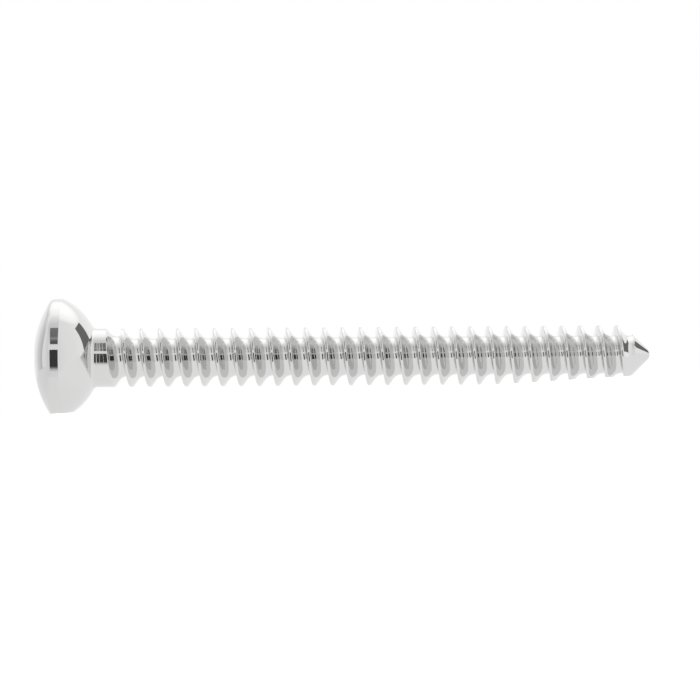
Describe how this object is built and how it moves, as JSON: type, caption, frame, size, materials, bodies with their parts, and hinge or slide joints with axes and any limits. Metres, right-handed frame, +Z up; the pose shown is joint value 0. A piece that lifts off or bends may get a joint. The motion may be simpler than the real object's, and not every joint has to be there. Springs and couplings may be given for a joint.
{
  "type": "orthopedic bone screw",
  "caption": "Slender steel bone screw with a domed head over a spherical seat, a hexagon socket, a shallow sloped right-hand thread up to the neck and a short conical tip.",
  "frame": {"origin": "on the floor under the middle of the screw's bounding box", "axes": "+X from the head towards the tip, along the lying screw; +Z up; the screw's own axis drops 3.1 degrees from the head to the tip"},
  "size_m": [0.0202, 0.0038, 0.0039],
  "materials": {
    "polished_steel": "polished"
  },
  "bodies": {
    "root": {"bone_screw": "polished_steel"}
  },
  "joints": []
}
